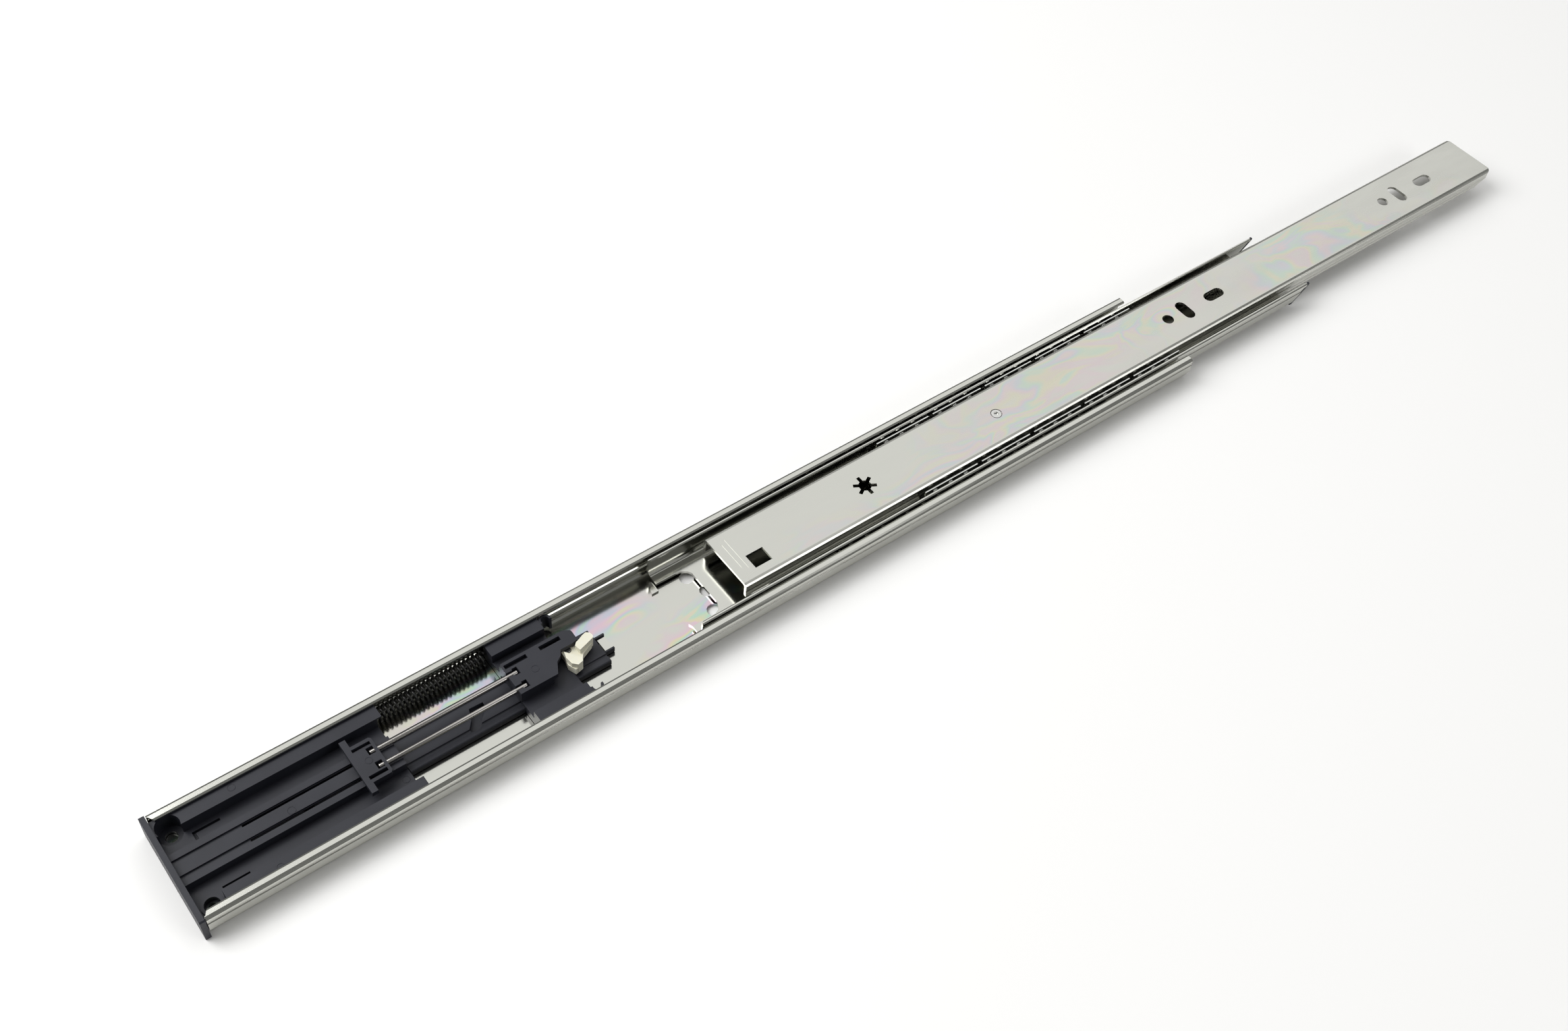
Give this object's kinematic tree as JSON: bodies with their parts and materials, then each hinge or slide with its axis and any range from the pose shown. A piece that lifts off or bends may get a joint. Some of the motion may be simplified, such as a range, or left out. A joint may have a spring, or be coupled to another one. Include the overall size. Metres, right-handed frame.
{
  "type": "drawer slide",
  "caption": "soft-close ball-bearing drawer slide, three telescoping zinc-plated steel members with a sprung soft-close unit",
  "frame": {"origin": "middle of the cabinet member's underside, the face that lies against the cabinet side", "axes": "+X the way the drawer opens, +Y towards the side with the spring, +Z from the cabinet side towards the drawer side"},
  "size_m": [0.664, 0.046, 0.0127],
  "materials": {
    "zinc_steel": "bright zinc plate with faint coloured bands",
    "bright_steel": "bright bare steel",
    "spring_steel": "oiled black wire",
    "black_plastic": "matt moulding",
    "ivory_plastic": "satin moulding"
  },
  "bodies": {
    "cabinet_side": {"cabinet_member": "zinc_steel", "soft_close_housing": "black_plastic", "carriage_rail": "black_plastic", "carriage_spring": "spring_steel"},
    "intermediate": {"intermediate_member": "zinc_steel", "bumper_near": "black_plastic", "bumper_far": "black_plastic"},
    "drawer_side": {"drawer_member": "zinc_steel", "drawer_rivet": "bright_steel"},
    "outer_bearing": {"outer_ball_cage": "bright_steel", "outer_ball_far_1": "bright_steel", "outer_ball_far_2": "bright_steel", "outer_ball_far_3": "bright_steel", "outer_ball_far_4": "bright_steel", "outer_ball_near_1": "bright_steel", "outer_ball_near_2": "bright_steel", "outer_ball_near_3": "bright_steel", "outer_ball_near_4": "bright_steel"},
    "inner_bearing": {"inner_ball_cage": "bright_steel", "inner_ball_far_1": "bright_steel", "inner_ball_far_2": "bright_steel", "inner_ball_far_3": "bright_steel", "inner_ball_far_4": "bright_steel", "inner_ball_far_5": "bright_steel", "inner_ball_far_6": "bright_steel", "inner_ball_near_1": "bright_steel", "inner_ball_near_2": "bright_steel", "inner_ball_near_3": "bright_steel", "inner_ball_near_4": "bright_steel", "inner_ball_near_5": "bright_steel", "inner_ball_near_6": "bright_steel"},
    "carriage": {"soft_close_carriage": "black_plastic", "trigger_pin": "bright_steel", "damper_yoke": "black_plastic", "damper_plunger": "black_plastic", "link_rod_near": "bright_steel", "link_rod_far": "bright_steel"},
    "trigger": {"trigger_hook": "ivory_plastic"}
  },
  "joints": [
    {"name": "intermediate_slide", "type": "slide", "parent": "cabinet_side", "child": "intermediate", "axis": [1, 0, 0], "range_m": [-0.036, 0.084]},
    {"name": "drawer_slide", "type": "slide", "parent": "intermediate", "child": "drawer_side", "axis": [1, 0, 0], "range_m": [-0.18, 0.15]},
    {"name": "outer_cage_slide", "type": "slide", "parent": "cabinet_side", "child": "outer_bearing", "axis": [1, 0, 0], "range_m": [-0.018, 0.042]},
    {"name": "inner_cage_slide", "type": "slide", "parent": "intermediate", "child": "inner_bearing", "axis": [1, 0, 0], "range_m": [-0.09, 0.075]},
    {"name": "carriage_slide", "type": "slide", "parent": "cabinet_side", "child": "carriage", "axis": [1, 0, 0], "range_m": [-0.043, 0], "deforming": ["carriage_spring"]},
    {"name": "trigger_hinge", "type": "hinge", "parent": "carriage", "child": "trigger", "pos_m": [-0.0725, 0.002, 0.007], "axis": [0, 0, 1], "range_deg": [-20, 0]}
  ],
  "couplings": [
    {"joint": "outer_cage_slide", "follows": "intermediate_slide", "ratio": 0.5},
    {"joint": "inner_cage_slide", "follows": "drawer_slide", "ratio": 0.5}
  ]
}
